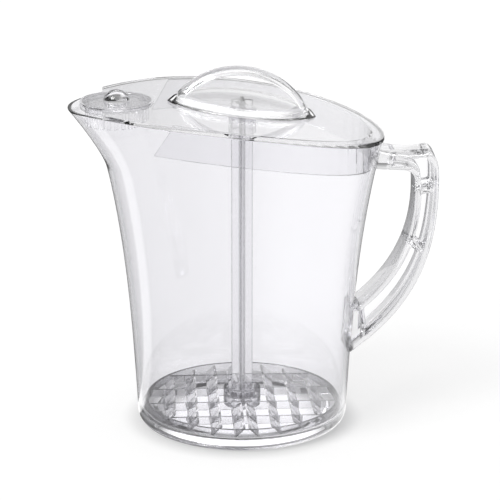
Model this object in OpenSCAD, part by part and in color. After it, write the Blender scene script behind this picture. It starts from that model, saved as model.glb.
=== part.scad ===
// Quick-stir pitcher: a clear moulded pitcher with an egg-shaped, arched rim, a ribbed handle,
// a lid with a turning strainer in the spout, and a plunger with a louvred stirring disc.
// Millimetres, +Z up, +X towards the handle. The origin is the centre of the foot, on the plunger's axis.

/* [Pitcher body] */
// Outer radius of the round base
base_r = 68.2; // [62:0.2:76]
// Rounding where the wall meets the base
base_corner = 7; // [4:0.5:8]
// Outward slope of the wall at the two sides
side_draft = 0.0236; // [0.02:0.0004:0.05]
// How far the handle end of the wall leans out at the flare height
end_flare = 22.2; // [16:0.2:28]
// Height at which that lean is measured
flare_h = 188.7; // [170:0.1:205]
// Straight share of the lean, the rest curls out towards the rim
flare_lean = 0.45; // [0.3:0.05:0.7]
// Power of the curl
flare_power = 3.05; // [2:0.05:4]
// Thickness of the wall
wall = 2.6; // [2:0.1:3.4]
// Thickness of the floor
floor_t = 3; // [2:0.1:5]
// Rounding inside, between floor and wall
floor_corner = 2; // [1:0.5:2.5]
// Depth of the recess under the floor
foot_h = 6.4; // [4:0.2:8]
// Width of the foot ring at the sole
foot_w = 5; // [3:0.5:12]
// How far the recess narrows from the sole to the floor
foot_draft = 2; // [1:0.5:4]
// Height by which the foot ring's flat sole stands below the rounded corner
sole_h = 0.2; // [0.1:0.05:0.4]
// How far the sole is narrower than the foot ring on each side
sole_in = 0.6; // [0.4:0.1:1]

/* [Rim and spout] */
// Height of the rim's highest point
crown_z = 213.3; // [200:0.1:230]
// Radius of the arch that the rim follows, seen from the side
arch_r = 608; // [520:1:720]
// Place of the arch's top along the length
arch_x = -76; // [-90:0.5:-60]
// Reach of the spout beyond the wall, at the height of the arch's top
spout_reach = 15.1; // [12:0.1:18]
// Height where the spout leaves the wall
spout_z = 176; // [165:1:184]
// Power of the curl of the spout's underside
spout_power = 1.25; // [1:0.05:2]
// Half angle of the spout
spout_half = 25.5; // [20:0.5:32]
// Bluntness of the spout's tip, seen from above
spout_round = 1.55; // [1:0.05:2.5]
// Share by which the rim narrows beside the spout
spout_waist = 0.02; // [0:0.01:0.2]

/* [Handle] */
// Width of the handle across the grip
handle_w = 28; // [20:1:34]
// Thickness of the middle web
handle_web = 5; // [3:0.5:8]
// Thickness of the two flanges
handle_flange = 4.2; // [3:0.1:4.6]
// Drop from the rim to the top of the handle's bar
handle_drop = 8.8; // [6:0.1:12]
// Height of the bar at the top of the handle
bar_h = 9.7; // [9:0.1:12]
// Reach of the handle's outer edge from the plunger's axis
handle_reach = 126; // [122:0.5:136]
// Depth of the upright grip
grip_depth = 15.5; // [13:0.5:18]
// Height of the lower end of the handle on the wall
handle_foot_z = 45.5; // [39:0.5:54]
// Height of that lower end along the wall
handle_foot_h = 28; // [22:0.5:34]
// Rise of the bar's top where it meets the wall
bar_rise = 5; // [2:0.5:7]
// Sag of the bar between the wall and the corner
bar_sag = 1.2; // [0:0.1:2.5]
// Length of the outer corner along the bar
corner_run = 8; // [5:0.5:11]
// Fall of the outer corner down the grip
corner_fall = 12; // [9:0.5:15]
// Length of the inner corner along the bar
inner_run = 6; // [4:0.5:9]
// Fall of the inner corner down the grip
inner_fall = 9; // [6:0.5:12]
// Lip of both corners above and below the bar
corner_lip = 0.8; // [0:0.1:1.5]
// Thickness of the ribs across the side pockets
handle_rib = 3; // [2:0.5:5]
// Gap between the ends of the handle and the wall, filled by the weld
weld_gap = 0.2; // [0.1:0.05:0.3]

/* [Lid] */
// Thickness of the lid's plate
lid_t = 2.5; // [1.8:0.1:3.2]
// Gap between the lid and the rim under it
lid_gap = 0.3; // [0.2:0.05:0.4]
// Overhang of the lid beyond the rim
lid_over = 0.7; // [0.2:0.1:1.5]
// Distance from the spout's tip to where the lid's edge on the rim starts
lid_back = 22.5; // [18:0.1:28]
// Depth of the skirt that drops into the mouth
skirt_depth = 19; // [14:0.5:22]
// Thickness of the skirt
skirt_t = 1.8; // [1.4:0.1:2.6]
// Gap between the skirt's lower edge and the wall
skirt_gap = 0.5; // [0.4:0.05:0.8]
// Distance from the spout's tip to where the skirt starts, at its top
skirt_back = 65.5; // [60:0.1:72]
// Lean of the skirt's front ends from upright
skirt_lean = 28; // [0:1:40]
// Outer radius of the collar that guides the shaft
guide_r = 8.8; // [8.6:0.1:12]
// Length of that collar below the plate
guide_h = 16; // [4:0.5:20]
// Gap between the shaft's fins and the collar
guide_gap = 0.35; // [0.3:0.05:0.5]

/* [Strainer] */
// Distance from the spout's tip to the strainer's axis
strainer_back = 31.50; // [29:0.01:36]
// Outer radius of the slotted drum
drum_r = 20.5; // [18:0.5:21]
// Wall of the drum
drum_wall = 1.8; // [1.2:0.1:2.4]
// Depth of the drum
drum_h = 14; // [11:0.5:15]
// Number of slots round the drum
slots = 28; // [16:2:36]
// Width of a slot
slot_w = 2.2; // [1.4:0.1:2.6]
// Overhang of the cap beyond the drum
cap_over = 1.5; // [1.2:0.1:3]
// Thickness of the cap
cap_t = 1.8; // [1.2:0.1:2.4]
// Width of the lid's seat round the cap
seat_w = 1.6; // [1.4:0.1:3]
// Thickness of the seat under the cap
seat_t = 2.2; // [1.6:0.1:2.6]
// Rise of the seat and the cap over the lid
seat_rise = 0.4; // [0.3:0.1:1]
// Running gap of the drum in its seat
turn_gap = 0.1; // [0.05:0.01:0.15]
// Gap above and below the seat
seat_gap = 0.25; // [0.2:0.05:0.3]
// Stand-out of the bead that snaps under the seat
bead = 0.6; // [0.4:0.05:0.8]
// Height of that bead
bead_h = 1.2; // [1:0.1:1.4]
// Radius of the round thumb knob at its foot
knob_r = 8.6; // [7:0.2:12]
// Height of the knob
knob_h = 7; // [5:0.2:8]

/* [Plunger] */
// Half width of the grip's foot
foot_half = 33; // [28:0.5:36]
// Radius of the two round sides of the foot
foot_round = 51.8; // [46:0.2:58]
// Height of the foot's flat top
foot_top = 4.8; // [4:0.1:7]
// Wall of the foot
foot_wall = 2; // [1.4:0.1:2.6]
// Gap between the foot and the lid
rest_gap = 0.3; // [0.2:0.05:0.4]
// Height of the bow over the lid
bow_h = 25.2; // [20:0.1:32]
// Outer radius of the bow
bow_r = 52.5; // [48:0.1:60]
// Thickness of the bow
bow_t = 4; // [3:0.1:5.5]
// Width of the bow
bow_w = 13; // [9:0.5:18]
// Span of the shaft's fins
shaft_w = 13.7; // [11:0.1:16]
// Thickness of the fins
fin_t = 2.6; // [1.8:0.1:3.4]
// Gap round the shaft in its two sockets
socket_gap = 0.08; // [0.05:0.01:0.12]
// Skin of the foot over the top of the shaft
shaft_skin = 1.2; // [0.8:0.1:1.6]
// Wall of the socket round the shaft
socket_wall = 2.6; // [1.6:0.1:4]

/* [Stirring disc] */
// Space between the disc and the pitcher's wall at the floor
disc_run = 1.7; // [1.4:0.1:6]
// Height of the disc's rim
disc_h = 5.3; // [4:0.1:8]
// Thickness of the disc's rim
disc_rim = 2; // [1.5:0.1:3]
// Distance between the straight bars
bar_pitch = 26; // [20:0.5:32]
// Thickness of the bars
bar_t = 1.8; // [1.2:0.1:2.6]
// Distance between the louvres
louvre_pitch = 14.4; // [11:0.1:18]
// Distance from the middle to the first louvres
louvre_start = 0.8; // [0.8:0.1:3]
// Width that a louvre covers
louvre_w = 7.2; // [5:0.1:9]
// Thickness of a louvre
louvre_t = 1.6; // [1:0.1:2.2]
// Radius of the hub
hub_r = 12.2; // [11:0.1:15]
// Height of the hub
hub_h = 11.7; // [9:0.1:16]
// Height of the hub's solid part
hub_base = 6.4; // [5.5:0.1:8]
// Wall of the snap fingers on the hub
finger_t = 2.4; // [1.6:0.1:3]
// Width of the slots between the snap fingers
finger_slot = 5; // [3:0.1:7]
// Floor under the shaft in the hub
hub_floor = 1; // [0.6:0.1:2]
// Gap between the disc and the pitcher's floor
disc_gap = 0.3; // [0.2:0.05:0.4]

/* [Hidden] */
$fn = 96;
// Points round the body, rings up its wall and steps in its rounded corners
around = 72;
rings = 16;
corner_steps = 3;
// The points crowd towards the spout by this many degrees
crowd = 22;
// The rings crowd towards the rim by this power
ring_power = 1.6;
// Points along each curve of the handle
curve_steps = 10;
// A size larger than the part, and a small overlap for cuts that run clear
far = 300;
eps = 0.5;

lid_top = lid_gap + lid_t;
floor_z = foot_h + floor_t;
disc_r = base_r - wall - disc_run;
disc_z = floor_z + disc_gap;
shaft_r = sqrt(pow(shaft_w, 2) + pow(fin_t, 2)) / 2;
shaft_foot_z = disc_z + hub_floor;
foot_lift = lid_top + rest_gap;
seat_lift = lid_top + seat_rise;

// Reach of the wall from the axis along the length, and to the side, at a height
function end_r(z) = base_r
    + end_flare * (flare_lean * z / flare_h + (1 - flare_lean) * pow(z / flare_h, flare_power));
function side_r(z) = base_r + side_draft * z;

// Share of the spout at an angle, 1 at its tip and falling off to both sides
function lobe(ang) = max(0, -cos(ang))
    / (1 + pow((1 + cos(ang)) / (1 - cos(spout_half)), spout_round));
function spout_out(z) = z > spout_z
    ? spout_reach * pow((z - spout_z) / (crown_z - spout_z), spout_power) : 0;
function narrow(ang, z) = 1 - spout_waist * pow(z / crown_z, 3) * pow(max(0, -cos(ang)), 2);

// A point of the body's cross-section, set in from the outer face
function section(ang, z, inset) = [
    (end_r(z) - inset) * cos(ang) - spout_out(z) * lobe(ang),
    (side_r(z) - inset) * sin(ang) * narrow(ang, z),
];

// Height of the arched rim, or of a surface a lift above it
function arch_z(x, lift) = crown_z - arch_r + sqrt(pow(arch_r + lift, 2) - pow(x - arch_x, 2));
function rim_z(ang, inset, z, tries) = tries == 0 ? z
    : rim_z(ang, inset, arch_z(section(ang, z, inset)[0], 0), tries - 1);
function top_z(ang, inset) = rim_z(ang, inset, crown_z, 8);
function angle(i) = 360 * i / around + crowd * sin(360 * i / around);
function climb(j) = 1 - pow(1 - j / rings, ring_power);

// Places along the length that are measured from the spout's tip
tip_x = section(180, top_z(180, 0), 0)[0];
lid_front = tip_x + lid_back;
skirt_front = tip_x + skirt_back;
strainer_x = tip_x + strainer_back;

// One closed ring of the body at a height, and one that rises towards the rim
function flat_ring(z, inset) = [
    for (i = [0 : around - 1]) let (p = section(angle(i), z, inset)) [p[0], p[1], z]
];
function rising_ring(low, inset, share) = [
    for (i = [0 : around - 1])
        let (z = low + (top_z(angle(i), inset) - low) * share)
        let (p = section(angle(i), z, inset)) [p[0], p[1], z]
];
function corner_rings(radius, low, inset) = [
    for (k = [0 : corner_steps])
        let (turn = 90 * k / corner_steps)
        flat_ring(low + radius * (1 - cos(turn)), inset + radius * (1 - sin(turn)))
];
function turned(list) = [for (i = [len(list) - 1 : -1 : 0]) list[i]];

// Plan outline of the mouth at a drop below the rim
function mouth(inset, drop) = [
    for (i = [0 : around - 1])
        let (ang = angle(i))
        section(ang, top_z(ang, inset) - drop, inset)
];

// Closed skin through a stack of rings, capped flat at both ends
module loft(stack) {
    n = len(stack[0]);
    m = len(stack);
    points = [for (r = stack) each r];
    sides = [
        for (j = [0 : m - 2], i = [0 : n - 1])
            let (a = j * n + i, b = j * n + (i + 1) % n)
            each [[a, a + n, b], [b, a + n, b + n]]
    ];
    first = [for (i = [0 : n - 1]) i];
    last = [for (i = [n - 1 : -1 : 0]) (m - 1) * n + i];
    polyhedron(points = points, faces = concat(sides, [first, last]), convexity = 6);
}

// Round solid under the arch, lying across the length
module under_arch(lift) {
    translate([arch_x, 0, crown_z - arch_r])
        rotate([90, 0, 0])
            cylinder(r = arch_r + lift, h = far, center = true, $fn = 360);
}

module arch_shell(low, high) {
    difference() {
        under_arch(high);
        under_arch(low);
    }
}

// Frame that stands on the arch at a place along the length, with its Z square to the lid
module on_arch(x, lift) {
    translate([arch_x, 0, crown_z - arch_r])
        rotate([0, asin((x - arch_x) / (arch_r + lift)), 0])
            translate([0, 0, arch_r + lift])
                children();
}

module pitcher_body() {
    low_in = floor_z + floor_corner;
    outer = [for (j = [1 : rings]) rising_ring(sole_h + base_corner, 0, climb(j))];
    inner = [for (j = [1 : rings]) rising_ring(low_in, wall, climb(j))];
    foot_out = base_r - base_corner;
    color([0.86, 0.88, 0.92, 0.45])
        union() {
            loft(concat(
                [flat_ring(foot_h, base_corner + foot_w + foot_draft)],
                [flat_ring(sole_h, base_corner + foot_w)],
                corner_rings(base_corner, sole_h, 0),
                outer,
                turned(inner),
                turned(corner_rings(floor_corner, floor_z, wall))
            ));
            difference() {
                cylinder(r = foot_out - sole_in, h = foot_h, $fn = 180);
                translate([0, 0, -eps]) cylinder(r = foot_out - foot_w + sole_in, h = far, $fn = 180);
            }
        }
}

// Handle edges as chains of curves, bar then corner then the long sweep to the lower end
handle_top = top_z(0, 0) - handle_drop;
handle_in = handle_reach - grip_depth;
bar_under = handle_top - bar_h;
// Both ends start inside the wall by these depths, and are trimmed off along it
bar_root = 8;
sweep_root = 4;
root_x = end_r(handle_top) - bar_root;
sweep_end = end_r(handle_foot_z) - sweep_root;
// Pull of the long sweep's two ends: outward and down at the top, outward and up at the bottom
outer_top_pull = [2, -59];
outer_low_pull = [43, 29.5];
inner_top_pull = [2.5, -42];
inner_low_pull = [28, 20.5];
outer_edge = [
    [[root_x, handle_top + bar_rise], [root_x + 2 * corner_run, handle_top - bar_sag],
     [handle_reach - 2 * corner_run, handle_top - bar_sag], [handle_reach - corner_run, handle_top + corner_lip]],
    [[handle_reach - corner_run, handle_top + corner_lip],
     [handle_reach - corner_run / 3, handle_top + 2 * corner_lip],
     [handle_reach, handle_top - corner_fall / 2], [handle_reach, handle_top - corner_fall]],
    [[handle_reach, handle_top - corner_fall],
     [handle_reach, handle_top - corner_fall] + outer_top_pull,
     [sweep_end, handle_foot_z] + outer_low_pull, [sweep_end, handle_foot_z]],
];
inner_edge = [
    [[root_x, bar_under + bar_sag], [root_x + inner_run, bar_under],
     [handle_in - 2 * inner_run, bar_under], [handle_in - inner_run, bar_under - corner_lip]],
    [[handle_in - inner_run, bar_under - corner_lip], [handle_in - inner_run / 3, bar_under - 2 * corner_lip],
     [handle_in, bar_under - inner_fall / 2], [handle_in, bar_under - inner_fall]],
    [[handle_in, bar_under - inner_fall],
     [handle_in, bar_under - inner_fall] + inner_top_pull,
     [sweep_end, handle_foot_z + handle_foot_h] + inner_low_pull, [sweep_end, handle_foot_z + handle_foot_h]],
];
// Places along the edges, in curves: where the pockets start and end, and the two ribs between them
pocket_from = 0.45;
pocket_to = 2.88;
rib_places = [2.06, 2.36];

function bezier(c, t) = pow(1 - t, 3) * c[0] + 3 * t * pow(1 - t, 2) * c[1]
    + 3 * t * t * (1 - t) * c[2] + pow(t, 3) * c[3];
function tangent(c, t) = pow(1 - t, 2) * (c[1] - c[0]) + 2 * t * (1 - t) * (c[2] - c[1])
    + t * t * (c[3] - c[2]);
// Point of a chain of curves, moved square to its run; the whole part of u picks the curve
function chain(edge, u, shift) =
    let (k = min(floor(u), len(edge) - 1), t = u - k)
    let (p = bezier(edge[k], t), d = tangent(edge[k], t))
    p + shift * [d[1], -d[0]] / norm(d);
function run(edge, from, to, shift) =
    let (count = ceil((to - from) * curve_steps))
    [for (i = [0 : count]) chain(edge, from + (to - from) * i / count, shift)];

// Side view of the handle between two places along it, set in from both edges
module handle_side(from, to, inset) {
    polygon(concat(run(outer_edge, from, to, inset), turned(run(inner_edge, from, to, -inset))));
}

module across(width) {
    rotate([90, 0, 0])
        linear_extrude(width, center = true)
            children();
}

// Cylinder that follows the wall's outer face near a height, for trimming a root of the handle.
// Its lean is taken over a step up and down the wall, and it runs well past the root.
module wall_follower(z) {
    step = 8;
    lean = atan((end_r(z + step) - end_r(z - step)) / (2 * step));
    bend = pow(side_r(z), 2) / end_r(z);
    translate([end_r(z), 0, z])
        rotate([0, lean, 0])
            translate([weld_gap - bend, 0, 0])
                cylinder(r = bend, h = 6 * step, center = true, $fn = 180);
}

module pitcher_handle() {
    half_rib = handle_rib / 2 / (handle_top - handle_foot_z);
    starts = [pocket_from, each [for (r = rib_places) r + half_rib]];
    ends = [each [for (r = rib_places) r - half_rib], pocket_to];
    color([0.80, 0.82, 0.87, 0.6])
        difference() {
            across(handle_w) handle_side(0, len(outer_edge), 0);
            for (side = [-1, 1], i = [0 : len(starts) - 1])
                translate([0, side * (handle_w + handle_web) / 2, 0])
                    across(handle_w) handle_side(starts[i], ends[i], handle_flange);
            wall_follower((handle_top + bar_under) / 2);
            wall_follower(handle_foot_z + handle_foot_h / 2);
        }
}

module lid_plate() {
    intersection() {
        arch_shell(lid_gap, lid_top);
        linear_extrude(far) polygon(mouth(-lid_over, 0));
        translate([lid_front, -far / 2, 0]) cube(far);
    }
}

module lid_skirt() {
    intersection() {
        arch_shell(lid_gap - skirt_depth, lid_gap + lid_t / 2);
        linear_extrude(far)
            difference() {
                polygon(mouth(wall + skirt_gap, skirt_depth));
                polygon(mouth(wall + skirt_gap + skirt_t, skirt_depth));
            }
        on_arch(skirt_front, 0)
            rotate([0, skirt_lean, 0])
                translate([0, -far / 2, -far / 2])
                    cube(far);
    }
}

module lid() {
    seat_r = drum_r + cap_over + seat_w;
    color([0.90, 0.91, 0.95, 0.45])
        difference() {
            union() {
                lid_plate();
                lid_skirt();
                intersection() {
                    under_arch(lid_gap + lid_t / 2);
                    translate([0, 0, arch_z(0, lid_gap) - guide_h]) cylinder(r = guide_r, h = far);
                }
                on_arch(strainer_x, seat_lift)
                    translate([0, 0, -cap_t - seat_gap - seat_t])
                        cylinder(r = seat_r, h = cap_t + seat_gap + seat_t);
            }
            cylinder(r = shaft_r + guide_gap, h = far);
            on_arch(strainer_x, seat_lift) {
                translate([0, 0, -far / 2]) cylinder(r = drum_r + turn_gap, h = far);
                translate([0, 0, -cap_t - seat_gap]) cylinder(r = drum_r + cap_over + turn_gap, h = far);
            }
        }
}

module strainer_dial() {
    under_seat = cap_t + seat_gap + seat_t + seat_gap;
    dome_r = (pow(knob_r, 2) + pow(knob_h, 2)) / (2 * knob_h);
    color([0.88, 0.90, 0.95, 0.5])
        on_arch(strainer_x, seat_lift)
            union() {
                difference() {
                    union() {
                        translate([0, 0, -drum_h]) cylinder(r = drum_r, h = drum_h - cap_t / 2);
                        translate([0, 0, -cap_t]) cylinder(r = drum_r + cap_over, h = cap_t);
                        rotate_extrude()
                            polygon([
                                [drum_r - drum_wall / 2, -under_seat],
                                [drum_r + bead, -under_seat],
                                [drum_r, -under_seat - bead_h],
                                [drum_r - drum_wall / 2, -under_seat - bead_h],
                            ]);
                    }
                    translate([0, 0, -far]) cylinder(r = drum_r - drum_wall, h = far - cap_t);
                    for (i = [0 : slots - 1])
                        rotate([0, 0, 360 * (i + 0.5) / slots])
                            translate([drum_r - 2 * drum_wall, -slot_w / 2, -far - under_seat - bead_h - eps])
                                cube([4 * drum_wall, slot_w, far]);
                }
                intersection() {
                    translate([0, 0, knob_h - dome_r]) rotate([90, 0, 0]) sphere(r = dome_r);
                    translate([0, 0, -cap_t / 2]) cylinder(r = 2 * knob_r, h = far);
                }
            }
}

// What a round shape and its twin have in common, set off so that they leave a pointed oval
module pointed_oval() {
    intersection_for (s = [-1, 1])
        translate([0, s * (foot_round - foot_half), 0])
            children();
}

// Pointed oval with sides that slope in at 45 degrees, standing on the arch over the axis
module oval_cone(inset) {
    on_arch(0, foot_lift)
        pointed_oval()
            translate([0, 0, -2 * foot_top])
                cylinder(
                    r1 = foot_round - inset + 2 * foot_top,
                    r2 = foot_round - inset - 2 * foot_top,
                    h = 4 * foot_top,
                    $fn = 180
                );
}

// Bow over the foot, its ends pointed like the foot's tips
module grip_bow() {
    intersection() {
        translate([0, 0, bow_h - rest_gap - bow_r])
            rotate([90, 0, 0])
                difference() {
                    cylinder(r = bow_r, h = bow_w, center = true, $fn = 180);
                    cylinder(r = bow_r - bow_t, h = far, center = true, $fn = 180);
                }
        pointed_oval() cylinder(r = foot_round, h = far, center = true, $fn = 180);
    }
}

module shaft_cross(grow) {
    for (turn = [0, 90])
        rotate(turn)
            square([shaft_w + 2 * grow, fin_t + 2 * grow], center = true);
}

shaft_top_z = arch_z(0, foot_lift + foot_top) - shaft_skin;

module plunger_grip() {
    slope = sqrt(2) * foot_wall;
    color([0.92, 0.93, 0.97, 0.5])
        difference() {
            union() {
                difference() {
                    intersection() {
                        oval_cone(0);
                        arch_shell(foot_lift, foot_lift + foot_top);
                    }
                    intersection() {
                        oval_cone(slope);
                        under_arch(foot_lift + foot_top - foot_wall);
                    }
                }
                difference() {
                    on_arch(0, foot_lift) grip_bow();
                    under_arch(foot_lift);
                }
                intersection() {
                    arch_shell(foot_lift, foot_lift + foot_top - foot_wall / 2);
                    cylinder(r = shaft_r + socket_wall, h = far);
                }
            }
            linear_extrude(shaft_top_z + socket_gap) shaft_cross(socket_gap);
        }
}

module plunger_shaft() {
    color([0.78, 0.80, 0.85, 0.6])
        translate([0, 0, shaft_foot_z])
            linear_extrude(shaft_top_z - shaft_foot_z)
                shaft_cross(0);
}

// One slanted louvre that runs the length of the disc, high on its inner side
module louvre(x) {
    translate([x, 0, disc_z])
        across(2 * disc_r)
            polygon([[0, disc_h], [louvre_t, disc_h], [louvre_w, 0], [louvre_w - louvre_t, 0]]);
}

module stirring_disc() {
    bars = floor((disc_r / bar_pitch) + 0.5);
    columns = floor((disc_r - disc_rim - louvre_start) / louvre_pitch);
    color([0.84, 0.86, 0.91, 0.55])
        difference() {
            union() {
                difference() {
                    translate([0, 0, disc_z]) cylinder(r = disc_r, h = disc_h, $fn = 180);
                    cylinder(r = disc_r - disc_rim, h = far, $fn = 180);
                }
                intersection() {
                    translate([0, 0, disc_z]) cylinder(r = disc_r - disc_rim / 2, h = disc_h, $fn = 180);
                    union() {
                        for (i = [0 : bars - 1], s = [-1, 1])
                            translate([-far / 2, s * (i + 0.5) * bar_pitch - bar_t / 2, disc_z])
                                cube([far, bar_t, disc_h]);
                        for (k = [0 : columns]) {
                            louvre(louvre_start + k * louvre_pitch);
                            mirror([1, 0, 0]) louvre(louvre_start + k * louvre_pitch);
                        }
                    }
                }
                translate([0, 0, disc_z]) cylinder(r = hub_r, h = hub_base);
                difference() {
                    translate([0, 0, disc_z]) cylinder(r = hub_r, h = hub_h);
                    cylinder(r = hub_r - finger_t, h = far);
                    for (turn = [45, 135])
                        rotate(turn)
                            translate([-far / 2, -finger_slot / 2, disc_z + hub_base])
                                cube([far, finger_slot, far]);
                }
            }
            translate([0, 0, shaft_foot_z]) linear_extrude(far) shaft_cross(socket_gap);
        }
}

pitcher_body();
pitcher_handle();
lid();
strainer_dial();
plunger_grip();
plunger_shaft();
stirring_disc();
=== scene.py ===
"""Looks of a quick-stir pitcher: clear moulded pieces on a white studio ground.

Metres, +Z up, +X towards the handle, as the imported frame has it.
"""

import math

import bpy
import numpy as np
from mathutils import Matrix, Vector


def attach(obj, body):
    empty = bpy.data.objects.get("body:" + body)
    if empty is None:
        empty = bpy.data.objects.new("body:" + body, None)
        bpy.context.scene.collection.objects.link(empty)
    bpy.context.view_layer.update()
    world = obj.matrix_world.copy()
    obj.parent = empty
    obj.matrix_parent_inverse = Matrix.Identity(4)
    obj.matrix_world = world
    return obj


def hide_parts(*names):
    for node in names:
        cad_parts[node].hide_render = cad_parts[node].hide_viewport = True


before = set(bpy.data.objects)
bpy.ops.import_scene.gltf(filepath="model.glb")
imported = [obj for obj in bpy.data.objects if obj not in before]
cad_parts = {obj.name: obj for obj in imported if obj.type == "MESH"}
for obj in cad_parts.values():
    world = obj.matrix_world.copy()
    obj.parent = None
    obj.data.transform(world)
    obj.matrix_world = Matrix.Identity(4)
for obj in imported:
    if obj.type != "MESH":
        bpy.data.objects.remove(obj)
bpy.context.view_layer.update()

MM = 0.001

# Driving sizes, as in the part's source. The vessel:
BASE_R = 68.2 * MM
BASE_CORNER = 7 * MM
SIDE_DRAFT = 0.0236
END_FLARE = 22.2 * MM
FLARE_H = 188.7 * MM
FLARE_LEAN = 0.45
FLARE_POWER = 3.05
WALL = 2.6 * MM
FLOOR_Z = 9.4 * MM
FLOOR_CORNER = 2 * MM
FOOT_H = 6.4 * MM
FOOT_W = 5 * MM
FOOT_DRAFT = 2 * MM
SOLE_H = 0.2 * MM
SOLE_IN = 0.6 * MM
CROWN_Z = 213.3 * MM
ARCH_R = 608 * MM
ARCH_X = -76 * MM
SPOUT_REACH = 15.1 * MM
SPOUT_Z = 176 * MM
SPOUT_POWER = 1.25
SPOUT_HALF = math.radians(25.5)
SPOUT_ROUND = 1.55
SPOUT_WAIST = 0.02
SPOUT_BEND = 0.1

# The handle
HANDLE_W = 28 * MM
HANDLE_WEB = 5 * MM
HANDLE_FLANGE = 4.2 * MM
HANDLE_DROP = 8.8 * MM
BAR_H = 9.7 * MM
HANDLE_REACH = 126 * MM
GRIP_DEPTH = 15.5 * MM
HANDLE_FOOT_Z = 45.5 * MM
HANDLE_FOOT_H = 28 * MM
BAR_RISE = 5 * MM
BAR_SAG = 1.2 * MM
CORNER_RUN = 8 * MM
CORNER_FALL = 12 * MM
INNER_RUN = 6 * MM
INNER_FALL = 9 * MM
CORNER_LIP = 0.8 * MM
HANDLE_RIB = 3 * MM
BAR_SINK = 8 * MM
FOOT_SINK = 4 * MM

# Leads of the handle's two long sweeps: out and down from the top, out and up from the foot
OUTER_BULGE = 2 * MM
OUTER_DROP = 59 * MM
OUTER_OUT = 43 * MM
OUTER_UP = 29.5 * MM
INNER_BULGE = 2.5 * MM
INNER_DROP = 42 * MM
INNER_OUT = 28 * MM
INNER_UP = 20.5 * MM

# The shaft and the stirring disc
SHAFT_W = 13.7 * MM
FIN_T = 2.6 * MM
DISC_R = 63.9 * MM
DISC_Z = 9.7 * MM
DISC_H = 5.3 * MM
DISC_RIM = 2 * MM
BAR_PITCH = 26 * MM
BAR_T = 1.8 * MM
LOUVRE_PITCH = 14.4 * MM
LOUVRE_START = 0.8 * MM
LOUVRE_W = 7.2 * MM
LOUVRE_T = 1.6 * MM
HUB_R = 12.2 * MM
HUB_H = 11.7 * MM
HUB_BASE = 6.4 * MM
HUB_FLOOR = 1 * MM
FINGER_T = 2.4 * MM
FINGER_SLOT = 5 * MM

# The lid's top over the rim, and the grip on it
LID_TOP = 2.8 * MM
REST_GAP = 0.3 * MM
FOOT_TOP = 4.8 * MM
SHAFT_SKIN = 1.2 * MM
FOOT_HALF = 33 * MM
FOOT_ROUND = 51.8 * MM
FOOT_WALL = 2 * MM
BOW_H = 25.2 * MM
BOW_R = 52.5 * MM
BOW_T = 4 * MM
BOW_W = 13 * MM

# Small rounds of moulded edges
RIM_ROUND = 0.5 * MM
RECESS_ROUND = 1 * MM
FLANGE_ROUND = 2 * MM
POCKET_ROUND = 1.1 * MM
FOOT_LIP = 0.3 * MM
FOOT_SOFT = 1.2 * MM
BOW_ROUND = 1.4 * MM
SHAFT_END = 0.2 * MM
RING_ROUND = 0.3 * MM
BAR_ROUND = 0.25 * MM
BAR_END = 0.2 * MM
HUB_ROUND = 0.6 * MM
FINGER_ROUND = 0.9 * MM
BLADE_ROUND = 0.3 * MM

# Rings on flat faces, as distances in from the edge
FLOOR_RINGS = np.array([10, 20, 30, 40, 50, 60]) * MM
FOOT_FLAT = 9 * MM
FOOT_MIDDLE = 30 * MM

# Rows and columns of the larger surfaces
VESSEL_COLUMNS = 240
VESSEL_ROWS = 80
HANDLE_TRIAL = 601
HANDLE_ROWS = 420

# Air left between pieces that touch on the real object, so that no two clear solids share a face
SEAM = 0.03 * MM

# The photograph's camera: 500 pixels square, with its principal point a little off the middle
VIEW_TURN = math.radians(-3)
VIEW_RISE = math.radians(17.72)
VIEW_DISTANCE = 1.75
VIEW_HEIGHT = 0.110
FRAME_PX = 500
FOCAL_PX = 2690.3
PRINCIPAL_PX = (242, 257.35)
SENSOR_MM = 36


# Meshes from whole arrays

def grid_faces(rows, columns, wrap_rows, wrap_columns):
    """Quads of a grid of points; a wrapped direction joins its last line to its first."""
    r = np.arange(rows if wrap_rows else rows - 1)
    c = np.arange(columns if wrap_columns else columns - 1)
    r, c = np.meshgrid(r, c, indexing="ij")
    r2 = (r + 1) % rows
    c2 = (c + 1) % columns
    quads = np.stack([r * columns + c, r * columns + c2, r2 * columns + c2, r2 * columns + c], axis=-1)
    return quads.reshape(-1, 4)


def piece_from(name, points, faces, sharp_deg=35):
    """An object at the origin from points and faces, smooth but for edges sharper than an angle."""
    mesh = bpy.data.meshes.new(name)
    mesh.from_pydata(points.reshape(-1, 3), [], faces)
    mesh.validate()
    mesh.polygons.foreach_set("use_smooth", np.ones(len(mesh.polygons), bool))
    mesh.set_sharp_from_angle(angle=math.radians(sharp_deg))
    mesh.update()
    piece = bpy.data.objects.new(name, mesh)
    bpy.context.scene.collection.objects.link(piece)
    return piece


def facing_out(points, sides, caps):
    """Faces of a closed skin, turned over where its signed volume is negative."""
    tris = np.concatenate([sides[:, [0, 1, 2]], sides[:, [0, 2, 3]], caps])
    a, b, c = (points[tris[:, i]] for i in range(3))
    if np.einsum("ij,ij->", a, np.cross(b, c)) < 0:
        sides, caps = sides[:, ::-1], caps[:, ::-1]
    return points, [*sides.tolist(), *caps.tolist()]


def tube(rings):
    """Closed skin through rings of points, each end drawn in to the middle of its ring."""
    rows, columns, _ = rings.shape
    points = np.concatenate([rings.reshape(-1, 3), rings[[0, -1]].mean(axis=1)])
    i = np.arange(columns)
    j = (i + 1) % columns
    low = rows * columns
    last = low - columns
    caps = np.concatenate([
        np.stack([j, i, np.full(columns, low)], axis=-1),
        np.stack([last + i, last + j, np.full(columns, low + 1)], axis=-1),
    ])
    return facing_out(points, grid_faces(rows, columns, False, True), caps)


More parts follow.
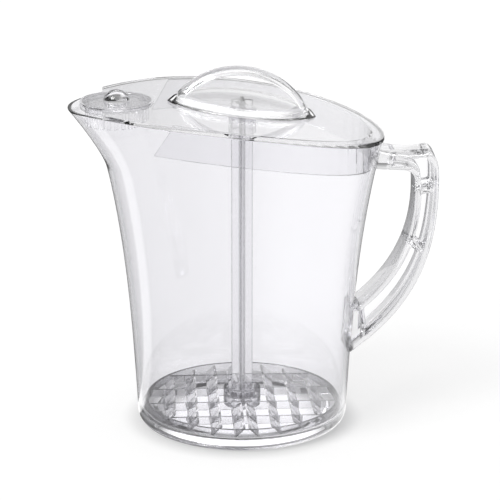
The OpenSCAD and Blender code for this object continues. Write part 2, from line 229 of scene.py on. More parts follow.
def hoop(rings):
    """Closed skin through rings whose last joins the first again."""
    rows, columns, _ = rings.shape
    sides = grid_faces(rows, columns, True, True)
    return facing_out(rings.reshape(-1, 3), sides, np.zeros((0, 3), int))


def piece_of(name, skins, sharp_deg=35):
    """One object from several closed skins."""
    points = []
    faces = []
    start = 0
    for skin_points, skin_faces in skins:
        points.append(skin_points)
        faces += [[start + i for i in face] for face in skin_faces]
        start += len(skin_points)
    return piece_from(name, np.concatenate(points), faces, sharp_deg)


def rounded_loop(corners, radius, steps=5):
    """Closed outline with rounded corners: at each corner a parabola leads from one side to the next."""
    corners = np.asarray(corners, float)
    back = np.roll(corners, 1, axis=0) - corners
    ahead = np.roll(corners, -1, axis=0) - corners
    back /= np.linalg.norm(back, axis=1, keepdims=True)
    ahead /= np.linalg.norm(ahead, axis=1, keepdims=True)
    t = np.linspace(0, 1, steps)[None, :, None]
    radius = np.broadcast_to(radius, len(corners))[:, None]
    start = (corners + radius * back)[:, None]
    end = (corners + radius * ahead)[:, None]
    return ((1 - t) ** 2 * start + 2 * t * (1 - t) * corners[:, None] + t ** 2 * end).reshape(-1, 2)


def drawn_in(loop, amount):
    """An outline, counter-clockwise, moved inwards square to its run."""
    along = np.roll(loop, -1, axis=0) - np.roll(loop, 1, axis=0)
    along /= np.linalg.norm(along, axis=1, keepdims=True)
    return loop + amount * np.stack([-along[:, 1], along[:, 0]], axis=-1)


def bar_rings(loop, low, high, edge):
    """Rings of an outline carried from low to high, drawn in at both ends on a quarter round."""
    turn = np.linspace(0, math.pi / 2, 4)
    inset = edge * (1 - np.sin(turn))
    rise = edge * (1 - np.cos(turn))
    inset = np.concatenate([inset, inset[::-1]])
    height = np.concatenate([low + rise, high - rise[::-1]])
    flat = np.stack([drawn_in(loop, amount) for amount in inset])
    return np.concatenate([flat, np.broadcast_to(height[:, None, None], (*flat.shape[:2], 1))], axis=-1)


def turned_rings(section, angles):
    """Rings of a section of radius and height carried round the axis."""
    r, z = section[None, :, 0], section[None, :, 1]
    a = angles[:, None]
    return np.stack([r * np.cos(a), r * np.sin(a), z + 0 * a], axis=-1)


def box_loop(low_a, high_a, low_b, high_b, radius):
    """Rounded rectangle, counter-clockwise."""
    return rounded_loop([(high_a, low_b), (high_a, high_b), (low_a, high_b), (low_a, low_b)], radius)


# The vessel

def end_reach(z):
    """Reach of the wall along the length: base radius plus a straight share and a curl of the flare."""
    share = z / FLARE_H
    return BASE_R + END_FLARE * (FLARE_LEAN * share + (1 - FLARE_LEAN) * share ** FLARE_POWER)


def side_reach(z):
    """Reach of the wall to the side: base radius plus a straight draft."""
    return BASE_R + SIDE_DRAFT * z


def wall_point(angle, z, inset):
    """Point of the egg-shaped section at an angle and a height, set in from the outer face.

    An ellipse of the two reaches; the spout adds a bell-shaped lobe towards -X and draws the sides in.
    """
    away = np.maximum(0, -np.cos(angle))
    lobe = away / (1 + ((1 + np.cos(angle)) / (1 - math.cos(SPOUT_HALF))) ** SPOUT_ROUND)
    climb = (z - SPOUT_Z) / (CROWN_Z - SPOUT_Z)
    rise = (climb + np.sqrt(climb ** 2 + SPOUT_BEND ** 2)) / 2
    waist = 1 - SPOUT_WAIST * (z / CROWN_Z) ** 3 * away ** 2
    x = (end_reach(z) - inset) * np.cos(angle) - SPOUT_REACH * rise ** SPOUT_POWER * lobe
    y = (side_reach(z) - inset) * np.sin(angle) * waist
    return np.stack([x, y, z + 0 * angle], axis=-1)


def arch_height(x, lift=0.0):
    """Height of the arch that the rim follows: a circle about a line across the length."""
    return CROWN_Z - ARCH_R + np.sqrt((ARCH_R + lift) ** 2 - (x - ARCH_X) ** 2)


def rim_height(angle, inset):
    """Height where the wall meets the arch, found by stepping between the two."""
    z = np.full_like(angle, CROWN_Z)
    for _ in range(12):
        z = arch_height(wall_point(angle, z, inset)[..., 0])
    return z


def ring_angles(count, crowd=math.radians(22)):
    """Angles round the vessel, closer together at the spout."""
    turn = np.linspace(0, 2 * math.pi, count, endpoint=False)
    return turn + crowd * np.sin(turn)


def pitcher_wall():
    """Vessel as rings: recess, sole, round corner, outer wall, rim between two rounds, inner wall, floor.

    Up the wall the rings lie closer together towards the rim.
    """
    angle = ring_angles(VESSEL_COLUMNS)
    climb = 1 - (1 - np.linspace(0, 1, VESSEL_ROWS)[1:]) ** 1.5
    edge = RIM_ROUND
    rows = []

    def flat(inset, z):
        rows.append(wall_point(angle, np.full_like(angle, z), inset))

    foot = BASE_CORNER + FOOT_W
    for inset in FLOOR_RINGS[:0:-1]:
        flat(inset, FOOT_H)
    for turn in np.linspace(0, math.pi / 2, 5):
        inset = foot + FOOT_DRAFT + RECESS_ROUND * (1 - math.sin(turn))
        flat(inset, FOOT_H - RECESS_ROUND * (1 - math.cos(turn)))
    for inset, z in [(foot, SOLE_H), (foot - SOLE_IN, 0), (BASE_CORNER + SOLE_IN, 0)]:
        flat(inset, z)
    for turn in np.linspace(0, math.pi / 2, 9):
        flat(BASE_CORNER * (1 - math.sin(turn)), SOLE_H + BASE_CORNER * (1 - math.cos(turn)))
    low = SOLE_H + BASE_CORNER
    top = rim_height(angle, 0.0) - edge
    for share in climb:
        rows.append(wall_point(angle, low + (top - low) * share, 0.0))
    for turn in np.linspace(0, math.pi, 11)[1:-1]:
        inset = WALL / 2 - np.copysign(WALL / 2 - edge * (1 - abs(math.cos(turn))), math.cos(turn))
        rows.append(wall_point(angle, rim_height(angle, inset) - edge * (1 - math.sin(turn)), inset))
    low = FLOOR_Z + FLOOR_CORNER
    top = rim_height(angle, WALL) - edge
    for share in climb[::-1]:
        rows.append(wall_point(angle, low + (top - low) * share, WALL))
    for turn in np.linspace(math.pi / 2, 0, 7):
        flat(WALL + FLOOR_CORNER * (1 - math.sin(turn)), FLOOR_Z + FLOOR_CORNER * (1 - math.cos(turn)))
    for inset in FLOOR_RINGS:
        flat(inset, FLOOR_Z)
    return piece_of("vessel", [tube(np.array(rows))])


# The handle

def bezier(curve, t):
    """Point of a cubic curve of four corners."""
    c = np.asarray(curve)
    t = t[..., None]
    return (1 - t) ** 3 * c[0] + 3 * t * (1 - t) ** 2 * c[1] + 3 * t ** 2 * (1 - t) * c[2] + t ** 3 * c[3]


def chain(curves, u):
    """Point of a chain of curves; the whole part of u picks the curve."""
    pick = np.clip(np.floor(u).astype(int), 0, len(curves) - 1)
    spots = np.stack([bezier(curve, u - k) for k, curve in enumerate(curves)])
    return np.take_along_axis(spots, pick[None, ..., None], axis=0)[0]


def handle_edges():
    """Outer and inner edge of the handle from the side, as chains of curves: bar, corner, long sweep."""
    top = float(rim_height(np.zeros(1), 0.0)[0]) - HANDLE_DROP
    inner = HANDLE_REACH - GRIP_DEPTH
    under = top - BAR_H
    root = end_reach(top) - BAR_SINK
    low = end_reach(HANDLE_FOOT_Z) - FOOT_SINK
    foot_top = HANDLE_FOOT_Z + HANDLE_FOOT_H
    shoulder = (HANDLE_REACH - CORNER_RUN, top + CORNER_LIP)
    outer_edge = [
        [(root, top + BAR_RISE), (root + 2 * CORNER_RUN, top - BAR_SAG),
         (HANDLE_REACH - 2 * CORNER_RUN, top - BAR_SAG), shoulder],
        [shoulder, (HANDLE_REACH - CORNER_RUN / 3, top + 2 * CORNER_LIP),
         (HANDLE_REACH, top - CORNER_FALL / 2), (HANDLE_REACH, top - CORNER_FALL)],
        [(HANDLE_REACH, top - CORNER_FALL), (HANDLE_REACH + OUTER_BULGE, top - CORNER_FALL - OUTER_DROP),
         (low + OUTER_OUT, HANDLE_FOOT_Z + OUTER_UP), (low, HANDLE_FOOT_Z)],
    ]
    armpit = (inner - INNER_RUN, under - CORNER_LIP)
    inner_edge = [
        [(root, under + BAR_SAG), (root + INNER_RUN, under), (inner - 2 * INNER_RUN, under), armpit],
        [armpit, (inner - INNER_RUN / 3, under - 2 * CORNER_LIP),
         (inner, under - INNER_FALL / 2), (inner, under - INNER_FALL)],
        [(inner, under - INNER_FALL), (inner + INNER_BULGE, under - INNER_FALL - INNER_DROP),
         (low + INNER_OUT, foot_top + INNER_UP), (low, foot_top)],
    ]
    return outer_edge, inner_edge, top - HANDLE_FOOT_Z


def smooth(low, high, x):
    """Soft step from 0 to 1 between two places."""
    t = np.clip((x - low) / (high - low), 0, 1)
    return t * t * (3 - 2 * t)


# The I-section's twelve corners in order: share of the depth (0 inner, 1 outer), flanges in from there,
# side, share of the pocket, then the way to the next corner as depth and side
I_CORNERS = np.array([
    (1, 0, 1, 0, -1, 0), (1, -1, 1, 0, 0, -1), (1, -1, 1, 1, -1, 0), (0, 1, 1, 1, 0, 1),
    (0, 1, 1, 0, -1, 0), (0, 0, 1, 0, 0, -1), (0, 0, -1, 0, 1, 0), (0, 1, -1, 0, 0, 1),
    (0, 1, -1, 1, 1, 0), (1, -1, -1, 1, 0, -1), (1, -1, -1, 0, 1, 0), (1, 0, -1, 0, 0, 1),
], float)

# Which of these corners lie on the outside of a flange
OUTER_CORNERS = np.array([1, 0, 0, 0, 0, 1, 1, 0, 0, 0, 0, 1], float)

# Where each pocket starts and ends along the handle: bar 0 to 1, corner 1 to 2, long sweep 2 to 3.
# A rib's side takes this share of half the rib to sink, and no pocket is shallower than the least share.
POCKETS = [(0.45, 2.06), (2.06, 2.36), (2.36, 2.9)]
RIB_SOFT = 0.9
LEAST_SINK = 0.004

# Edges that turn by more than this stay sharp on the handle and the grip
MOULDED_DEG = 50


def handle_points(u, steps):
    """Points of the handle at places u along it, one column for each point of the rounded I-section.

    The section spans from the inner to the outer edge. Its pockets sink between the ribs on soft steps.
    """
    outer_edge, inner_edge, length = handle_edges()
    outer, inner = chain(outer_edge, u), chain(inner_edge, u)
    depth = np.linalg.norm(outer - inner, axis=-1)
    across = (outer - inner) / depth[..., None]
    half_rib = HANDLE_RIB / 2 / length
    soft = RIB_SOFT * half_rib
    sink = sum(
        smooth(a + half_rib, a + half_rib + soft, u) * (1 - smooth(b - half_rib - soft, b - half_rib, u))
        for a, b in POCKETS
    )
    pocket = (HANDLE_W - HANDLE_WEB) / 2 * np.maximum(sink, LEAST_SINK)
    corner = np.repeat(np.arange(12), steps)
    t = np.tile(np.linspace(0, 1, steps), 12)
    share, flange, side, deep, way_v, way_y = I_CORNERS[corner].T
    from_v, from_y = np.roll(I_CORNERS, 1, axis=0)[corner, 4:].T
    radius = np.where(OUTER_CORNERS[corner] > 0, FLANGE_ROUND, np.minimum(POCKET_ROUND, 0.45 * pocket))
    v = share * depth + flange * HANDLE_FLANGE + radius * (t ** 2 * way_v - (1 - t) ** 2 * from_v)
    y = side * (HANDLE_W / 2 - deep * pocket) + radius * (t ** 2 * way_y - (1 - t) ** 2 * from_y)
    xz = inner + v[..., None] * across
    return np.stack([xz[..., 0], y, xz[..., 1]], axis=-1)


def pitcher_handle():
    """Handle swept along its edges; each line of points starts and ends where it leaves the wall."""
    steps = 6
    columns = 12 * steps
    u = np.linspace(0, 3, HANDLE_TRIAL)[:, None] + np.zeros((1, columns))
    points = handle_points(u, steps)
    x, y, z = points[..., 0], points[..., 1], points[..., 2]
    clear = x - end_reach(z) * np.sqrt(1 - (y / side_reach(z)) ** 2) - 2 * SEAM
    rows = np.arange(len(u))[:, None]
    out = clear > 0
    first = np.argmax(out & (rows > 0), axis=0)
    last = len(u) - 1 - np.argmax((out & (rows < len(u) - 1))[::-1], axis=0)
    k = np.arange(columns)

    def crossing(inside, outside):
        a, b = clear[inside, k], clear[outside, k]
        return u[inside, k] + (u[outside, k] - u[inside, k]) * a / (a - b)

    start = crossing(first - 1, first)
    end = crossing(last + 1, last)
    share = np.linspace(0, 1, HANDLE_ROWS)[:, None]
    return piece_of("grip_handle", [tube(handle_points(start + (end - start) * share, steps))], MOULDED_DEG)


# The plunger

def on_lid(u, y, h):
    """Place over the lid: u along its arch from the shaft, y across, h up from where the grip rests."""
    rest = ARCH_R + LID_TOP + REST_GAP
    a = math.asin(-ARCH_X / rest) + u / rest
    z = CROWN_Z - ARCH_R + (rest + h) * np.cos(a)
    return np.stack([ARCH_X + (rest + h) * np.sin(a), y + 0 * a, z], axis=-1)


def pointed_oval(inset):
    """Outline of the grip's foot, set in: two wide arcs that meet in blunt points."""
    offset = FOOT_ROUND - FOOT_HALF
    turn = np.linspace(0, 2 * math.pi, 200, endpoint=False)
    r = FOOT_ROUND - inset
    x = math.sqrt(r ** 2 - offset ** 2) * np.cos(turn)
    return x, (np.sqrt(r ** 2 - x ** 2) - offset) * np.sign(np.sin(turn))


def grip_foot():
    """Foot of the grip: a hollow pointed oval whose sides slope in at 45 degrees.

    Its outline is set in step by step along the underside, the slope, a soft shoulder and the top.
    """
    ceiling = FOOT_TOP - SHAFT_SKIN + SEAM
    slope = math.sqrt(2) * FOOT_WALL
    shoulder = FOOT_TOP - FOOT_SOFT
    under = [(inset, ceiling) for inset in np.linspace(FOOT_MIDDLE, slope + ceiling, 6)]
    under += [(slope, 0), (FOOT_LIP, 0)]
    side = [(h, h) for h in np.linspace(FOOT_LIP, shoulder, 5)]
    bend = np.linspace(0, 1, 6)[1:]
    side += [(shoulder + 2.4 * FOOT_SOFT * t, FOOT_TOP - FOOT_SOFT * (1 - t) ** 2) for t in bend]
    top = [(inset, FOOT_TOP) for inset in np.linspace(FOOT_FLAT, FOOT_MIDDLE, 5)]
    rings = np.stack([on_lid(*pointed_oval(inset), h) for inset, h in under + side + top])
    return piece_of("grip_foot", [tube(rings)], MOULDED_DEG)


def grip_bow():
    """Bow of the grip: an arc of a ring over the foot, its edges rounded."""
    middle = BOW_H - REST_GAP - BOW_R
    section = box_loop(BOW_R - BOW_T, BOW_R, -BOW_W / 2, BOW_W / 2, BOW_ROUND)
    r, y = section[None, :, 0], section[None, :, 1]
    angle = np.linspace(-1, 1, 96)[:, None] * np.arccos((FOOT_TOP + SEAM - middle) / r)
    rings = on_lid(r * np.sin(angle), y, middle + r * np.cos(angle))
    return piece_of("grip_bow", [tube(rings)], MOULDED_DEG)


def lay_along_y(rings):
    """Rings of x, z and a run, laid along the width."""
    return np.stack([rings[..., 0], -rings[..., 2], rings[..., 1]], axis=-1)


def lay_along_x(rings):
    """Rings of y, z and a run, laid along the length."""
    return np.stack([rings[..., 2], rings[..., 0], rings[..., 1]], axis=-1)


def stirring_shaft():
    """Cross-shaped rod: twelve corners, the fins' tips fully rounded, the roots filleted."""
    w, t = SHAFT_W / 2, FIN_T / 2
    corners = [
        (w, -t), (w, t), (t, t), (t, w), (-t, w), (-t, t),
        (-w, t), (-w, -t), (-t, -t), (-t, -w), (t, -w), (t, -t),
    ]
    radius = np.tile([0.95 * t, 0.95 * t, 0.7 * t], 4)
    top = float(arch_height(0.0, LID_TOP + REST_GAP + FOOT_TOP)) - SHAFT_SKIN
    rings = bar_rings(rounded_loop(corners, radius, 8), DISC_Z + HUB_FLOOR, top, SHAFT_END)
    return piece_of("cross_shaft", [tube(rings)])


def louvre_skins(x, cells, inner_r):
    """Slanted blades of one column: a leaning slab in each cell, high on the side towards the hub."""
    side = 1 if x > 0 else -1
    section = np.array([(0, DISC_H), (LOUVRE_T, DISC_H), (LOUVRE_W, 0), (LOUVRE_W - LOUVRE_T, 0)])
    section = np.array([x, DISC_Z]) + section * [side, 1]
    loop = rounded_loop(section[::-1] if side > 0 else section, BLADE_ROUND, 4)
    reach = math.sqrt(inner_r ** 2 - np.abs(section[:, 0]).max() ** 2)
    ends = [(max(a, -reach), min(b, reach)) for a, b in cells]
    ends = [(a, b) for a, b in ends if b - a > 4 * BLADE_ROUND]
    return [tube(lay_along_y(bar_rings(loop, -b, -a, BLADE_ROUND))) for a, b in ends]


def disc_cells():
    """Lines of the disc's bars across the width, and the cells between them."""
    lines = np.array([-1.5, -0.5, 0.5, 1.5]) * BAR_PITCH
    bounds = np.concatenate([[-DISC_R], lines, [DISC_R]])
    gap = BAR_T / 2 + SEAM
    return lines, [(a + gap, b - gap) for a, b in zip(bounds[:-1], bounds[1:])]


def disc_frame():
    """Frame of the stirring disc: a ring, straight bars, and a hub with four snap fingers."""
    inner_r = DISC_R - DISC_RIM - SEAM
    turn = np.linspace(0, 2 * math.pi, 144, endpoint=False)
    ring = box_loop(DISC_R - DISC_RIM, DISC_R, DISC_Z, DISC_Z + DISC_H, RING_ROUND)
    skins = [hoop(turned_rings(ring, turn))]
    for y in disc_cells()[0]:
        bar = box_loop(y - BAR_T / 2, y + BAR_T / 2, DISC_Z, DISC_Z + DISC_H, BAR_ROUND)
        reach = math.sqrt(inner_r ** 2 - (abs(y) + BAR_T / 2) ** 2)
        skins.append(tube(lay_along_x(bar_rings(bar, -reach, reach, BAR_END))))
    bore = math.hypot(SHAFT_W, FIN_T) / 2 + SEAM
    base = box_loop(bore, HUB_R, DISC_Z, DISC_Z + HUB_BASE - SEAM, HUB_ROUND)
    skins.append(hoop(turned_rings(base, turn)))
    finger = box_loop(HUB_R - FINGER_T, HUB_R, DISC_Z + HUB_BASE, DISC_Z + HUB_H, FINGER_ROUND)
    half = math.pi / 4 - math.asin(FINGER_SLOT / 2 / HUB_R)
    for quarter in range(4):
        span = quarter * math.pi / 2 + np.linspace(-half, half, 24)
        skins.append(tube(turned_rings(finger, span)))
    return piece_of("disc_frame", skins)


def disc_louvres():
    """Slanted blades of the stirring disc, in mirrored columns on both sides of the hub."""
    inner_r = DISC_R - DISC_RIM - SEAM
    cells = disc_cells()[1]
    skins = []
    for x in LOUVRE_START + LOUVRE_PITCH * np.arange(5):
        if x + LOUVRE_W > inner_r:
            continue
        open_cells = [c for c in cells if x > HUB_R or min(abs(c[0]), abs(c[1])) > HUB_R]
        skins += louvre_skins(x, open_cells, inner_r) + louvre_skins(-x, open_cells, inner_r)
    return piece_of("disc_louvres", skins)


# Shader maths

class Value:
    """A socket of a node tree. Arithmetic on it adds Math nodes."""

    def __init__(self, graph, socket):
        self.graph = graph
        self.socket = socket

    def math(self, operation, first, second):
        return self.graph.add("ShaderNodeMath", {"operation": operation}, {0: first, 1: second})

    def __add__(self, other):
        return self.math("ADD", self, other)

    def __radd__(self, other):
        return self.math("ADD", other, self)

    def __sub__(self, other):
        return self.math("SUBTRACT", self, other)

    def __rsub__(self, other):
        return self.math("SUBTRACT", other, self)

    def __mul__(self, other):
        return self.math("MULTIPLY", self, other)

    def __rmul__(self, other):
        return self.math("MULTIPLY", other, self)

    def __pow__(self, other):
        return self.math("POWER", self, other)


class Graph:
    """Node tree of a material or the world."""

    def __init__(self, tree):
        self.tree = tree
        tree.nodes.clear()

    def add(self, kind, settings=None, inputs=None, out=0):
        """One node: its settings, then the values or links of its sockets; gives one of its outputs."""
        node = self.tree.nodes.new(kind)
        for key, value in (settings or {}).items():
            setattr(node, key, value)
        for key, value in (inputs or {}).items():
            if isinstance(value, Value):
                self.tree.links.new(value.socket, node.inputs[key])
            else:
                node.inputs[key].default_value = value
        return Value(self, node.outputs[out]) if len(node.outputs) else None


def new_material(name):
    """An empty material and the graph of its nodes."""
    material = bpy.data.materials.new(name)
    material.use_nodes = True
    return material, Graph(material.node_tree)


# Clear plastic

# Painted edge shade seen along the surface, and tone of long ways inside
PAINTED_EDGE_SHADE = (0.02, 0.02, 0.025, 1)
INSIDE_TONE = (0.3, 0.3, 0.33, 1)

# Flow waves from the mould: how many to the metre, how much they dim the tint and bend the surface
FLOW_SCALE = 22.0
FLOW_DIM = 0.985
WAVE_STRENGTH = 0.04
WAVE_DEPTH = 1 * MM

# Rubbed haze: its grain to the metre, its least roughness and what it adds at most
HAZE_SCALE = 160.0
HAZE_LEAST = 0.01
HAZE_MORE = 0.016

PLASTIC_IOR = 1.5


def clear_plastic(
    name, tint, density, edge=0.45, power=5.0, shade=(0.97, 0.985), inside=1.0, level=1.0, upright=1.0,
):
    """Clear moulded plastic: glassy, with faint flow waves from the mould and fine rubbed haze.

    Seen along its surface it is darker, a painted edge shade: the edge share times a power of how far the
    surface turns away.
    Of that, the inside share counts where light leaves the plastic again, the level share on level faces.
    Upright faces have the tint times the upright share, a painted shade on upright faces.
    Long ways inside are dimmed by the density, as in a thick clear edge.
    Light from the sheet and from lamps passes dimmed by the two shades, so that a pale shadow stays.
    """
    material, g = new_material(name)
    place = g.add("ShaderNodeTexCoord", out="Object")
    flow = g.add("ShaderNodeTexNoise", None, {"Vector": place, "Scale": FLOW_SCALE, "Detail": 1.0})
    haze = g.add("ShaderNodeTexNoise", None, {"Vector": place, "Scale": HAZE_SCALE, "Detail": 3.0})
    tone = g.add("ShaderNodeMix", {"data_type": "RGBA"}, {
        0: flow,
        6: (*[c * FLOW_DIM for c in tint], 1),
        7: (*tint, 1),
    }, out=2)
    normal = g.add("ShaderNodeNewGeometry", out="Normal")
    rise = g.add("ShaderNodeSeparateXYZ", None, {0: normal}, out="Z")
    # Painted shade: upright faces take a darker tint than level ones
    if upright < 1:
        tone = g.add("ShaderNodeMix", {"data_type": "RGBA"}, {
            0: rise * rise,
            6: (*[c * upright for c in tint], 1),
            7: tone,
        }, out=2)
    waves = g.add("ShaderNodeBump", None, {
        "Height": flow, "Strength": WAVE_STRENGTH, "Distance": WAVE_DEPTH,
    })
    hazy = haze * HAZE_MORE + HAZE_LEAST
    clear, dark = (
        g.add("ShaderNodeBsdfPrincipled", None, {
            "Base Color": colour,
            "Roughness": hazy,
            "Normal": waves,
            "IOR": PLASTIC_IOR,
            "Transmission Weight": 1.0,
        })
        for colour in (tone, PAINTED_EDGE_SHADE)
    )
    # Painted edge shade: darker where the surface turns away from the view
    facing = g.add("ShaderNodeLayerWeight", None, {"Blend": 0.5}, out="Facing")
    leaving = g.add("ShaderNodeNewGeometry", out="Backfacing")
    along = edge * facing ** power * (1 - (1 - inside) * leaving) * (1 - (1 - level) * rise * rise)
    surface = g.add("ShaderNodeMixShader", None, {0: along, 1: clear, 2: dark})
    for ray, share in zip(("Is Diffuse Ray", "Is Shadow Ray"), shade):
        passes = g.add("ShaderNodeLightPath", out=ray)
        passing = g.add("ShaderNodeBsdfTransparent", None, {"Color": (share, share, share, 1)})
        surface = g.add("ShaderNodeMixShader", None, {0: passes, 1: surface, 2: passing})
    depth = g.add("ShaderNodeVolumeAbsorption", None, {"Color": INSIDE_TONE, "Density": density})
    g.add("ShaderNodeOutputMaterial", None, {"Surface": surface, "Volume": depth})
    return material


# Stage

WHITE = (1, 1, 1, 1)
SHEET_TONE = (0.8, 0.8, 0.8, 1)
SHEET_HALF = 6.0
WORLD_LIGHT = 0.5

# Soft changes, each as the two places between which it happens and the brightness at both.
# The sheet's own glow, by distance from the axis: none at the base's edge, a painted contact shadow, and a
# painted pool of light under the base
SHEET_GLOW_AND_PAINTED_CONTACT_SHADOW = (0.95 * BASE_R, 1.2 * BASE_R, 0.0, 0.2)
PAINTED_LIGHT_POOL = (0.55 * BASE_R, 0.85 * BASE_R, 1.05, 0.0)

# Painted shade on the sheet to the left, seen only through glass: by place along the length, and outside
# the base
PAINTED_LEFT_SHADE = (-0.04, 0.03, 0.06, 0.0)
OUTSIDE = (BASE_R, 2 * BASE_R, 0.0, 1.0)

# Painted reflections on the sheet that only gloss sees, a glowing patch and a strip: its direction in
# degrees, then by nearness to that direction
PAINTED_PATCH_TURN = 64
PAINTED_REFLECTION_PATCH = (0.45, 0.95, 0.2, 1.8)
PAINTED_STRIP_TURN = -100
PAINTED_REFLECTION_STRIP = (0.985, 0.997, 0.0, 1.6)

# The world by height, through glass and in gloss: dark screens, a soft panel overhead, a paler patch behind
GLASS_SCREEN = (0.1, 0.45, 1.0, 0.2)
GLASS_PANEL = (0.5, 0.75, 0.0, 1.1)
GLOSS_SCREEN = (0.1, 0.44, 0.7, 0.12)
GLOSS_PANEL = (0.5, 0.72, 0.0, 6.0)
PATCH_TURN = 150
PATCH_RISE = 15
GLOSS_PATCH = (0.78, 0.95, 0.0, 0.5)


def ways_seen(g):
    """1 for each kind of ray that shows the stage: straight from the camera, in gloss, through glass."""
    straight = g.add("ShaderNodeLightPath", out="Is Camera Ray")
    glass = g.add("ShaderNodeLightPath", out="Is Transmission Ray")
    gloss = g.add("ShaderNodeLightPath", out="Is Glossy Ray") * (1 - glass)
    return straight, gloss, glass


def fade(g, value, low, high, at_low, at_high):
    """Soft change of a value between two places."""
    return g.add("ShaderNodeMapRange", {"interpolation_type": "SMOOTHSTEP"}, {
        "Value": value, "From Min": low, "From Max": high, "To Min": at_low, "To Max": at_high,
    })


def toward(g, direction, turn, rise=0.0):
    """How near a direction is to one in degrees right of the camera and up: the cosine between them."""
    a = math.radians(turn) + VIEW_TURN
    e = math.radians(rise)
    middle = (math.sin(a) * math.cos(e), -math.cos(a) * math.cos(e), math.sin(e))
    inputs = {0: direction, 1: middle}
    return g.add("ShaderNodeVectorMath", {"operation": "DOT_PRODUCT"}, inputs, out="Value")


def studio_ground():
    """Large white sheet; its own glow lifts it to white where no shadow falls.

    Under the base a painted pool of light is added, as a clear vessel gathers light there; close round it
    the glow fades, a painted contact shadow.
    Through glass the part to the left is a little dimmer, a painted shade.
    In gloss it is dim, as a table between dark screens, with a painted reflection glowing on the right and
    a painted bright strip on the left.
    """
    points = SHEET_HALF * np.array([[-1, -1, 0], [1, -1, 0], [1, 1, 0], [-1, 1, 0]])
    ground = piece_from("studio_ground", points, [[0, 1, 2, 3]])
    material, g = new_material("white_sheet")
    _, gloss, glass = ways_seen(g)
    place = g.add("ShaderNodeNewGeometry", out="Position")
    reach = g.add("ShaderNodeVectorMath", {"operation": "LENGTH"}, {0: place}, out="Value")
    sheet = g.add("ShaderNodeBsdfDiffuse", None, {"Color": SHEET_TONE})
    across = g.add("ShaderNodeSeparateXYZ", None, {0: place}, out="X")
    # Painted shade: the sheet left of the vessel is dimmer, seen only through glass
    dimmed = glass * fade(g, across, *PAINTED_LEFT_SHADE) * fade(g, reach, *OUTSIDE)
    # Glow with a painted contact shadow round the base and a painted pool of light under it, less the
    # painted shade to the left
    lift = fade(g, reach, *SHEET_GLOW_AND_PAINTED_CONTACT_SHADOW) + fade(g, reach, *PAINTED_LIGHT_POOL) - dimmed
    glow = g.add("ShaderNodeEmission", None, {"Color": WHITE, "Strength": lift})
    both = g.add("ShaderNodeAddShader", None, {0: sheet, 1: glow})
    away = g.add("ShaderNodeVectorMath", {"operation": "NORMALIZE"}, {0: place}, out="Vector")
    # Painted reflections, seen only in gloss: a glowing patch to the right and a bright strip to the left
    painted_patch = fade(g, toward(g, away, PAINTED_PATCH_TURN), *PAINTED_REFLECTION_PATCH)
    strip = fade(g, toward(g, away, PAINTED_STRIP_TURN), *PAINTED_REFLECTION_STRIP)
    mirrored = g.add("ShaderNodeEmission", None, {"Color": WHITE, "Strength": painted_patch + strip})
    surface = g.add("ShaderNodeMixShader", None, {0: gloss, 1: both, 2: mirrored})
    g.add("ShaderNodeOutputMaterial", None, {"Surface": surface})
    ground.data.materials.append(material)


def studio_world():
    """White all round for the camera.

    For gloss and glass it darkens with height, as between dark screens, up to a soft panel overhead.
    """
    world = bpy.data.worlds.new("studio")
    world.use_nodes = True
    g = Graph(world.node_tree)
    straight, gloss, glass = ways_seen(g)
    direction = g.add("ShaderNodeTexCoord", out="Generated")
    up = g.add("ShaderNodeSeparateXYZ", None, {0: direction}, out="Z")
    patch = fade(g, toward(g, direction, PATCH_TURN, PATCH_RISE), *GLOSS_PATCH)
    behind = fade(g, up, *GLASS_SCREEN) + fade(g, up, *GLASS_PANEL)
    mirrored = fade(g, up, *GLOSS_SCREEN) + patch + fade(g, up, *GLOSS_PANEL)
    others = (1 - straight - glass - gloss) * WORLD_LIGHT
    strength = straight + glass * behind + gloss * mirrored + others
    sky = g.add("ShaderNodeBackground", None, {"Color": WHITE, "Strength": strength})
    g.add("ShaderNodeOutputWorld", None, {"Surface": sky})
    bpy.context.scene.world = world


def aim(thing, target):
    """Turns a lamp or camera so that it looks from its place at a point."""
    thing.rotation_euler = (Vector(target) - thing.location).to_track_quat("-Z", "Y").to_euler()


def soft_sun(name, place, spread_deg, strength):
    """Even soft light from one direction."""
    lamp = bpy.data.lights.new(name, "SUN")
    lamp.angle = math.radians(spread_deg)
    lamp.energy = strength
    lamp_object = bpy.data.objects.new(name, lamp)
    bpy.context.scene.collection.objects.link(lamp_object)
    lamp_object.location = place
    aim(lamp_object, (0, 0, VIEW_HEIGHT))


def photo_camera():
    """Camera at the photograph's place, with the photograph's framing as a small shift."""
    camera = bpy.data.cameras.new("photo_camera")
    camera.sensor_width = SENSOR_MM
    camera.lens = FOCAL_PX / FRAME_PX * SENSOR_MM
    camera.shift_x = 0.5 - PRINCIPAL_PX[0] / FRAME_PX
    camera.shift_y = PRINCIPAL_PX[1] / FRAME_PX - 0.5
    camera.clip_start = 0.05
    camera.clip_end = 50
    thing = bpy.data.objects.new("photo_camera", camera)
    bpy.context.scene.collection.objects.link(thing)
    out = VIEW_DISTANCE * math.cos(VIEW_RISE)
    thing.location = (
        out * math.sin(VIEW_TURN),
        -out * math.cos(VIEW_TURN),
        VIEW_HEIGHT + VIEW_DISTANCE * math.sin(VIEW_RISE),
    )
    aim(thing, (0, 0, VIEW_HEIGHT))
    bpy.context.scene.camera = thing


# Assembly

def dress(piece, material):
    """Gives a piece one material in place of any it had."""
    piece.data.materials.clear()
    piece.data.materials.append(material)


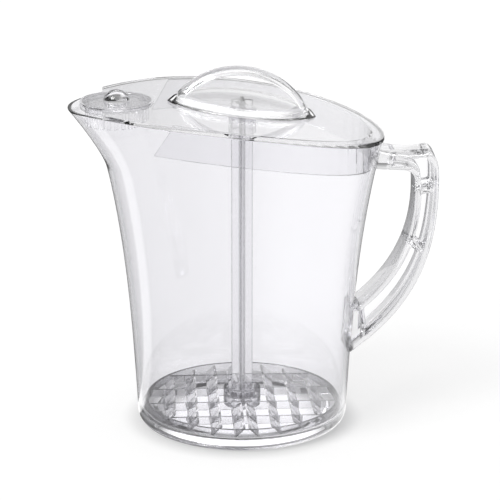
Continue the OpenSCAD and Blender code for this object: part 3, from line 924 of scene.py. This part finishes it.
def stand_in(piece, material, body, node):
    """A piece that takes a solid's place on its body."""
    dress(piece, material)
    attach(piece, body)
    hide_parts(node)


photo_camera()
studio_ground()
studio_world()
soft_sun("key_light", place=(-1.2, -1.0, 1.8), spread_deg=30, strength=2.4)

vessel_clear = clear_plastic("vessel_clear", (0.976, 0.973, 0.99), density=14, shade=(0.87, 0.955))
handle_clear = clear_plastic(
    "handle_clear", (0.995, 0.993, 1.0), density=8, edge=0.9, power=3.0, inside=0.4, level=0.2,
)
lid_clear = clear_plastic(
    "lid_clear", (0.978, 0.976, 0.988), density=0.5, edge=1.0, power=3.0,
    inside=0.0, level=0.2, upright=0.93,
)
dial_clear = clear_plastic("dial_clear", (0.985, 0.983, 0.99), density=12, edge=0.8, power=3.0)
foot_clear = clear_plastic("foot_clear", (0.998, 0.996, 1.0), density=1, edge=0.3, power=8.0)
bow_clear = clear_plastic("bow_clear", (0.99, 0.988, 0.996), density=4, edge=0.85, power=3.5)
shaft_clear = clear_plastic("shaft_clear", (0.995, 0.993, 1.0), density=32, edge=1.0, power=1.4)
frame_clear = clear_plastic("frame_clear", (0.99, 0.988, 0.995), density=8, edge=1.0, power=0.9)
louvre_clear = clear_plastic("louvre_clear", (0.998, 0.996, 1.0), density=2, edge=0.5, power=2.6)

stand_in(pitcher_wall(), vessel_clear, "pitcher", "pitcher_body")
stand_in(pitcher_handle(), handle_clear, "pitcher", "pitcher_handle")
stand_in(grip_foot(), foot_clear, "plunger", "plunger_grip")
stand_in(grip_bow(), bow_clear, "plunger", "plunger_grip")
stand_in(stirring_shaft(), shaft_clear, "plunger", "plunger_shaft")
stand_in(disc_frame(), frame_clear, "plunger", "stirring_disc")
stand_in(disc_louvres(), louvre_clear, "plunger", "stirring_disc")
dress(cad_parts["lid"], lid_clear)
dress(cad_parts["strainer_dial"], dial_clear)

scene = bpy.context.scene
scene.view_settings.view_transform = "Standard"
scene.cycles.max_bounces = 32
scene.cycles.transmission_bounces = 32
scene.cycles.glossy_bounces = 12
scene.cycles.transparent_max_bounces = 32
scene.cycles.caustics_refractive = True
